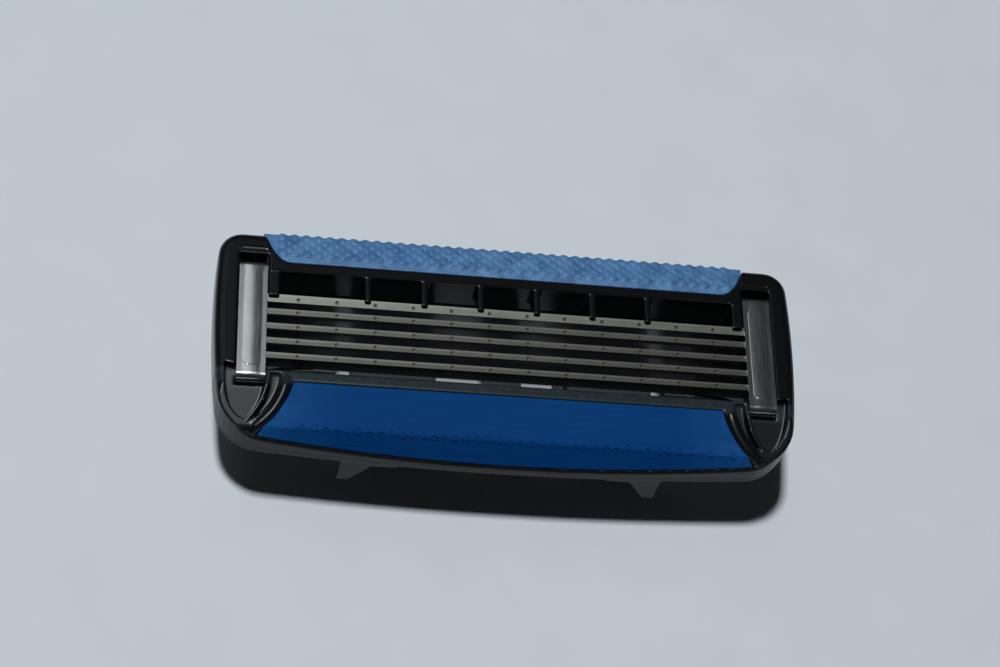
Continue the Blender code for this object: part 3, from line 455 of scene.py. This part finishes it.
class CARTRIDGE_OT_frame(bpy.types.Operator):
    """Moulds the black frame, with a round rib beside each end of the lubricating strip"""

    bl_idname = "cartridge.frame"
    bl_label = "Black frame"

    def execute(self, context):
        sizes = context.scene.cartridge_sizes
        piece = solid_copy("housing", "frame_moulding")
        for side in SIDES:
            self.slope_slot(piece, side, sizes)
        ribs = [self.add_rib(piece, turn, sizes) for turn in (-1, 1)]
        modify(piece, "BEVEL", width=sizes.frame_edge / MM, segments=2, limit_method="ANGLE",
               angle_limit=math.radians(40), use_clamp_overlap=False)
        join([piece, *ribs])
        soften(piece, sizes.frame_voxel, rounds=5)
        material = frame_plastic(context.scene.cartridge_colours)
        complete(piece, material, "cartridge", "frame_plastic", "housing")
        return {"FINISHED"}

    @staticmethod
    def slope_slot(piece, side, sizes):
        """Slopes the frame down to the slot that a clip's leg beside the guard passes through."""
        lower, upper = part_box(f"clip_{side}")
        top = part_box("housing")[1].z
        turn = math.atan2(sizes.slope_fall, sizes.slope_run)
        bpy.ops.mesh.primitive_cube_add(size=1)
        cutter = bpy.context.object
        cutter.scale = Vector((upper.x - lower.x, 4 * sizes.slope_run, 2 * sizes.slope_run)) / MM
        cutter.rotation_euler.x = turn
        front = upper.y + sizes.slot_gap + sizes.slope_run
        drop = Vector((0, -2 * sizes.slope_run, sizes.slope_run))
        drop.rotate(cutter.rotation_euler)
        cutter.location = (Vector(((lower.x + upper.x) / 2, front, top)) + drop) / MM
        settle(cutter)
        modify(piece, "BOOLEAN", operation="DIFFERENCE", object=cutter)
        bpy.data.objects.remove(cutter)

    @staticmethod
    def add_rib(piece, turn, sizes):
        """A round rib beside one end of the strip: a line drawn from above, laid on the cap and thickened."""
        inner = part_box("clip_right")[0].x / MM
        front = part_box("lube_strip")[1].y / MM
        route = [Vector((turn * (inner + x), front + y, 0)) for x, y in RIB_ROUTE]
        bpy.ops.curve.primitive_bezier_curve_add()
        rib = bpy.context.object
        head, tail = rib.data.splines[0].bezier_points
        for end, place, pull in ((head, route[0], route[1]), (tail, route[3], route[2])):
            end.handle_left_type = "FREE"
            end.handle_right_type = "FREE"
            end.co = place
            end.handle_left = pull
            end.handle_right = pull
        bpy.ops.object.convert(target="MESH")
        last = len(rib.data.vertices) - 1
        for vertex in rib.data.vertices:
            spot, _ = surface_at(piece, vertex.co.x, vertex.co.y)
            fade = sizes.rib_fade * (2 * vertex.index / last - 1) ** 4
            vertex.co = spot - Vector((0, 0, (sizes.rib_sink + fade) / MM))
        bpy.ops.object.convert(target="CURVE")
        rib.data.bevel_depth = sizes.rib_radius / MM
        rib.data.use_fill_caps = True
        bpy.ops.object.convert(target="MESH")
        return rib


class CARTRIDGE_OT_shell(bpy.types.Operator):
    """Moulds the grey lower shell with its fins"""

    bl_idname = "cartridge.shell"
    bl_label = "Grey shell"

    def execute(self, context):
        piece = solid_copy("rear_shell", "shell_moulding")
        soften(piece, context.scene.cartridge_sizes.shell_voxel, rounds=3)
        material = moulded_plastic("moulded grey ABS", context.scene.cartridge_colours.shell_grey,
                                   grain=0.08, roughness=0.45, shine=0.2)
        complete(piece, material, "cartridge", "shell_plastic", "rear_shell")
        return {"FINISHED"}


class CARTRIDGE_OT_yoke(bpy.types.Operator):
    """Moulds the yoke that a handle plugs into"""

    bl_idname = "cartridge.yoke"
    bl_label = "Handle yoke"

    def execute(self, context):
        piece = solid_copy("yoke", "yoke_moulding")
        soften(piece, context.scene.cartridge_sizes.yoke_voxel, rounds=4)
        material = moulded_plastic("moulded black acetal", context.scene.cartridge_colours.yoke_black,
                                   grain=0.09, roughness=0.45, shine=0.4)
        complete(piece, material, "yoke", "yoke_plastic", "yoke")
        return {"FINISHED"}


class CARTRIDGE_OT_guard(bpy.types.Operator):
    """Moulds the rubber guard with its packed rows of domes"""

    bl_idname = "cartridge.guard"
    bl_label = "Rubber guard"

    def execute(self, context):
        sizes = context.scene.cartridge_sizes
        piece = solid_copy("guard_strip", "guard_rubber_strip")
        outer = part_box("guard_strip")[1].y
        self.trim(piece, outer - sizes.guard_trim)
        rows = []
        for row in range(sizes.dome_rows):
            y = outer - sizes.dome_inset - row * sizes.dome_row
            rows.append(self.add_row(piece, y, sizes.domes - row % 2, sizes))
        join([piece, *rows])
        soften(piece, sizes.strip_voxel, rounds=2, swell=sizes.guard_swell)
        material = guard_elastomer(context.scene.cartridge_colours)
        complete(piece, material, "cartridge", "guard_rubber", "guard_strip")
        return {"FINISHED"}

    @staticmethod
    def trim(piece, y):
        """Cuts the strip's outer edge back, so that the domes beyond it give a scalloped edge."""
        only(piece)
        bpy.ops.object.mode_set(mode="EDIT")
        bpy.ops.mesh.select_all(action="SELECT")
        bpy.ops.mesh.bisect(plane_co=(0, y / MM, 0), plane_no=(0, 1, 0), use_fill=True, clear_outer=True)
        bpy.ops.object.mode_set(mode="OBJECT")

    @staticmethod
    def add_row(piece, y, domes, sizes):
        """One row of flattened domes that sit half in the strip."""
        spot, normal = surface_at(piece, 0, y / MM)
        bpy.ops.mesh.primitive_uv_sphere_add(segments=12, ring_count=6, radius=sizes.dome_radius / MM)
        row = bpy.context.object
        row.scale.z = sizes.dome_rise / sizes.dome_radius
        row.rotation_euler = normal.to_track_quat("Z", "Y").to_euler()
        row.location = spot
        row.location.x = -(domes - 1) / 2 * sizes.dome_pitch / MM
        settle(row)
        repeat(row, domes, sizes.dome_pitch)
        return row


class CARTRIDGE_OT_lube(bpy.types.Operator):
    """Shapes the lubricating strip and the row of small rings on its crease"""

    bl_idname = "cartridge.lube"
    bl_label = "Lubricating strip"

    def execute(self, context):
        sizes = context.scene.cartridge_sizes
        piece = solid_copy("lube_strip", "lube_polymer_strip")
        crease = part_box("lube_strip")[0].y + sizes.crease_in
        soften(piece, sizes.strip_voxel, rounds=4, swell=sizes.lube_swell)
        rings = self.add_rings(piece, crease, sizes)
        material = lube_polymer(context.scene.cartridge_colours)
        complete(piece, material, "cartridge", "lube_polymer", "lube_strip")
        complete(rings, material, "cartridge", "lube_polymer")
        return {"FINISHED"}

    @staticmethod
    def add_rings(piece, crease, sizes):
        """Small raised rings along the crease, each sunk by its own amount."""
        chance = random.Random(5)
        rings = []
        for step in range(sizes.rings):
            x = (step - (sizes.rings - 1) / 2) * sizes.ring_pitch + chance.uniform(-1, 1) * sizes.ring_stray
            y = crease + chance.uniform(-1, 1) * sizes.ring_stray
            spot, normal = surface_at(piece, x / MM, y / MM)
            bpy.ops.mesh.primitive_torus_add(
                major_segments=12, minor_segments=5, major_radius=sizes.ring_radius / MM,
                minor_radius=sizes.ring_rim / MM)
            ring = bpy.context.object
            ring.rotation_euler = normal.to_track_quat("Z", "Y").to_euler()
            ring.location = spot - normal * chance.uniform(0, 0.9) * sizes.ring_rim / MM
            settle(ring)
            rings.append(ring)
        rings[0].name = "lube_rings"
        band = join(rings)
        bpy.ops.object.shade_smooth()
        return band


class CARTRIDGE_OT_clips(bpy.types.Operator):
    """Arches the two pressed clips and rounds their edges"""

    bl_idname = "cartridge.clips"
    bl_label = "Aluminium clips"

    def execute(self, context):
        sizes = context.scene.cartridge_sizes
        material = rolled_metal("pressed aluminium", context.scene.cartridge_colours.aluminium,
                                roughness=0.19, spacing=0.06, stretch=(1, 40, 1), depth=0.0006)
        for side in SIDES:
            piece = solid_copy(f"clip_{side}", f"clip_{side}_pressing")
            lower, upper = [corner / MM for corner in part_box(f"clip_{side}")]
            self.slice(piece, lower.x, upper.x, sizes.clip_slices)
            modify(piece, "BEVEL", width=sizes.clip_edge / MM, segments=3, limit_method="ANGLE",
                   angle_limit=math.radians(35))
            self.arch(piece, lower, upper, sizes)
            bpy.ops.object.shade_smooth_by_angle(angle=math.radians(40))
            modify(piece, "WEIGHTED_NORMAL", keep_sharp=True)
            complete(piece, material, "cartridge", "clip_aluminium", f"clip_{side}")
        return {"FINISHED"}

    @staticmethod
    def slice(piece, low, high, slices):
        """Cuts a clip's faces into strips along its length, so that it can arch."""
        only(piece)
        bpy.ops.object.mode_set(mode="EDIT")
        for cut in range(1, slices):
            bpy.ops.mesh.select_all(action="SELECT")
            bpy.ops.mesh.bisect(plane_co=(low + (high - low) * cut / slices, 0, 0), plane_no=(1, 0, 0))
        bpy.ops.object.mode_set(mode="OBJECT")

    @staticmethod
    def arch(piece, lower, upper, sizes):
        """Arches a clip's raised panel, less and less down the clip's bends."""
        crown = piece.vertex_groups.new(name="crown")
        for vertex in piece.data.vertices:
            across = (2 * vertex.co.x - lower.x - upper.x) / (sizes.clip_panel / MM)
            down = (upper.z - vertex.co.z) / (sizes.clip_fade / MM)
            crown.add([vertex.index], max(0, 1 - across ** 2) * max(0, 1 - down), "REPLACE")
        modify(piece, "DISPLACE", direction="Z", strength=sizes.clip_crown / MM, mid_level=0, vertex_group="crown")


class CARTRIDGE_OT_blades(bpy.types.Operator):
    """Finishes the blades and rails, and adds the weld dots that join them"""

    bl_idname = "cartridge.blades"
    bl_label = "Blades and rails"

    def execute(self, context):
        sizes = context.scene.cartridge_sizes
        colours = context.scene.cartridge_colours
        # One coated steel in two copies: painted lighter on the first blade, painted darker as shade on the others.
        first, steel = [
            rolled_metal(name, shade, roughness=0.36, spacing=0.05, stretch=(40, 1, 1), depth=0.0006)
            for name, shade in (("coated first blade steel", colours.first_blade_lit_steel),
                                ("coated blade steel", colours.blade_steel))]
        rail = rolled_metal("rolled steel strip", colours.rail_steel,
                            roughness=0.34, spacing=0.05, stretch=(20, 1, 1), depth=0.001)
        weld = rolled_metal("heat-tinted steel", colours.weld_brown,
                            roughness=0.45, spacing=0.05, stretch=(1, 1, 1), depth=0.002)
        finish_nodes([f"blade_{BLADES[0]}"], first)
        finish_nodes([f"blade_{blade}" for blade in BLADES[1:]], steel)
        finish_nodes([f"blade_support_{blade}" for blade in BLADES], rail)
        for blade in BLADES:
            complete(self.add_dots(blade, sizes), weld, f"blade_unit_{blade}", "blade_steel")
        return {"FINISHED"}

    @staticmethod
    def add_dots(blade, sizes):
        """A row of shallow weld craters along the back of one blade's upper face."""
        lower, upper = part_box(f"blade_{blade}")
        guide = solid_copy(f"blade_{blade}", "blade_guide")
        spot, normal = surface_at(guide, 0, upper.lerp(lower, 0.6).y / MM)
        bpy.data.objects.remove(guide)
        bpy.ops.mesh.primitive_cylinder_add(vertices=16, radius=sizes.weld_radius / MM,
                                            depth=2 * sizes.weld_height / MM)
        dots = bpy.context.object
        dots.name = f"weld_dots_{blade}"
        bpy.ops.object.mode_set(mode="EDIT")
        bpy.ops.mesh.select_all(action="DESELECT")
        bpy.ops.object.mode_set(mode="OBJECT")
        for face in dots.data.polygons:
            face.select = face.normal.z > 0.9
        bpy.ops.object.mode_set(mode="EDIT")
        bpy.ops.mesh.inset(thickness=0.3 * sizes.weld_radius / MM)
        bpy.ops.mesh.inset(thickness=0.3 * sizes.weld_radius / MM)
        bpy.ops.transform.translate(value=(0, 0, -sizes.weld_sink / MM))
        bpy.ops.object.mode_set(mode="OBJECT")
        dots.rotation_euler = normal.to_track_quat("Z", "Y").to_euler()
        dots.location = spot
        dots.location.x = -(sizes.welds - 1) / 2 * sizes.weld_pitch / MM
        settle(dots)
        bpy.ops.object.shade_smooth_by_angle(angle=math.radians(50))
        repeat(dots, sizes.welds, sizes.weld_pitch)
        return dots


class CARTRIDGE_OT_arms(bpy.types.Operator):
    """Moulds the spring arms under the blade ends, which give way as their blade is pressed in"""

    bl_idname = "cartridge.arms"
    bl_label = "Spring arms"

    def execute(self, context):
        material = moulded_plastic("moulded black nylon", context.scene.cartridge_colours.arm_black,
                                   grain=0.07, roughness=0.45, shine=0.4)
        for blade in BLADES:
            for side in SIDES:
                node = f"spring_arm_{side}_{blade}"
                piece = solid_copy(node, f"spring_finger_{side}_{blade}")
                modify(piece, "BEVEL", width=context.scene.cartridge_sizes.arm_edge / MM, segments=2,
                       limit_method="ANGLE", angle_limit=math.radians(40))
                complete(piece, material, "cartridge", "arm_plastic", node)
                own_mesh(piece)
        return {"FINISHED"}


class CARTRIDGE_OT_stage(bpy.types.Operator):
    """Sets out the table, the lamps, the room and the camera"""

    bl_idname = "cartridge.stage"
    bl_label = "Stage"

    def execute(self, context):
        scene = context.scene
        stage = scene.cartridge_stage
        scene.view_settings.view_transform = "Standard"
        self.add_table(stage.table_size, table_paint(scene.cartridge_colours.table))
        self.add_lamp(scene, "softbox", stage.softbox_place, stage.softbox_size, stage.softbox_power)
        self.add_lamp(scene, "panel", stage.panel_place, stage.panel_size, stage.panel_power)
        self.add_room(scene, stage.room_strength)
        self.add_camera(scene, stage)
        return {"FINISHED"}

    @staticmethod
    def add_table(size, material):
        """A wide table top under the cartridge."""
        bpy.ops.mesh.primitive_plane_add(size=size)
        table = bpy.context.object
        table.name = "table_top"
        table.data.materials.append(material)

    @staticmethod
    def add_lamp(scene, name, spot, size, power):
        """A square soft lamp that looks at the cartridge."""
        data = bpy.data.lights.new(name, "AREA")
        data.size = size
        data.energy = power
        data.color = LAMP_TINT
        lamp = bpy.data.objects.new(name, data)
        lamp.location = spot
        lamp.rotation_euler = lamp.location.to_track_quat("Z", "Y").to_euler()
        scene.collection.objects.link(lamp)

    @staticmethod
    def add_room(scene, strength):
        """A dim, faintly blue room."""
        scene.world = bpy.data.worlds.new("dim room")
        scene.world.use_nodes = True
        background = scene.world.node_tree.nodes["Background"]
        background.inputs["Color"].default_value = (0.93, 0.97, 1.0, 1.0)
        background.inputs["Strength"].default_value = strength

    @staticmethod
    def add_camera(scene, stage):
        """The camera, above and in front of the cap, looking down at the blades."""
        data = bpy.data.cameras.new("camera")
        data.sensor_width = 36
        data.lens = stage.camera_lens
        data.clip_start = 0.01
        camera = bpy.data.objects.new("camera", data)
        camera.location = stage.camera_place
        camera.rotation_euler = stage.camera_turn
        scene.collection.objects.link(camera)
        scene.camera = camera


OPERATORS = (
    CARTRIDGE_OT_stage, CARTRIDGE_OT_frame, CARTRIDGE_OT_shell, CARTRIDGE_OT_yoke, CARTRIDGE_OT_guard,
    CARTRIDGE_OT_lube, CARTRIDGE_OT_clips, CARTRIDGE_OT_blades, CARTRIDGE_OT_arms,
)


class CARTRIDGE_PT_panel(bpy.types.Panel):
    """Lists the cartridge's sizes, colours and operators"""

    bl_idname = "CARTRIDGE_PT_panel"
    bl_label = "Razor cartridge"
    bl_space_type = "VIEW_3D"
    bl_region_type = "UI"
    bl_category = "Cartridge"

    def draw(self, context):
        scene = context.scene
        for group in (scene.cartridge_sizes, scene.cartridge_colours, scene.cartridge_stage):
            box = self.layout.box()
            for name in group.__annotations__:
                box.prop(group, name)
        for operator in OPERATORS:
            self.layout.operator(operator.bl_idname)


GROUPS = {
    "cartridge_sizes": CartridgeSizes,
    "cartridge_colours": CartridgeColours,
    "cartridge_stage": CartridgeStage,
}
CLASSES = (*GROUPS.values(), *OPERATORS, CARTRIDGE_PT_panel)


def register():
    for cls in CLASSES:
        bpy.utils.register_class(cls)
    for name, group in GROUPS.items():
        setattr(bpy.types.Scene, name, bpy.props.PointerProperty(type=group))


def unregister():
    for name in GROUPS:
        delattr(bpy.types.Scene, name)
    for cls in reversed(CLASSES):
        bpy.utils.unregister_class(cls)


def main():
    register()
    bpy.ops.cartridge.stage()
    bpy.ops.cartridge.frame()
    bpy.ops.cartridge.shell()
    bpy.ops.cartridge.yoke()
    bpy.ops.cartridge.guard()
    bpy.ops.cartridge.lube()
    bpy.ops.cartridge.clips()
    bpy.ops.cartridge.blades()
    bpy.ops.cartridge.arms()


if __name__ == "__main__":
    main()
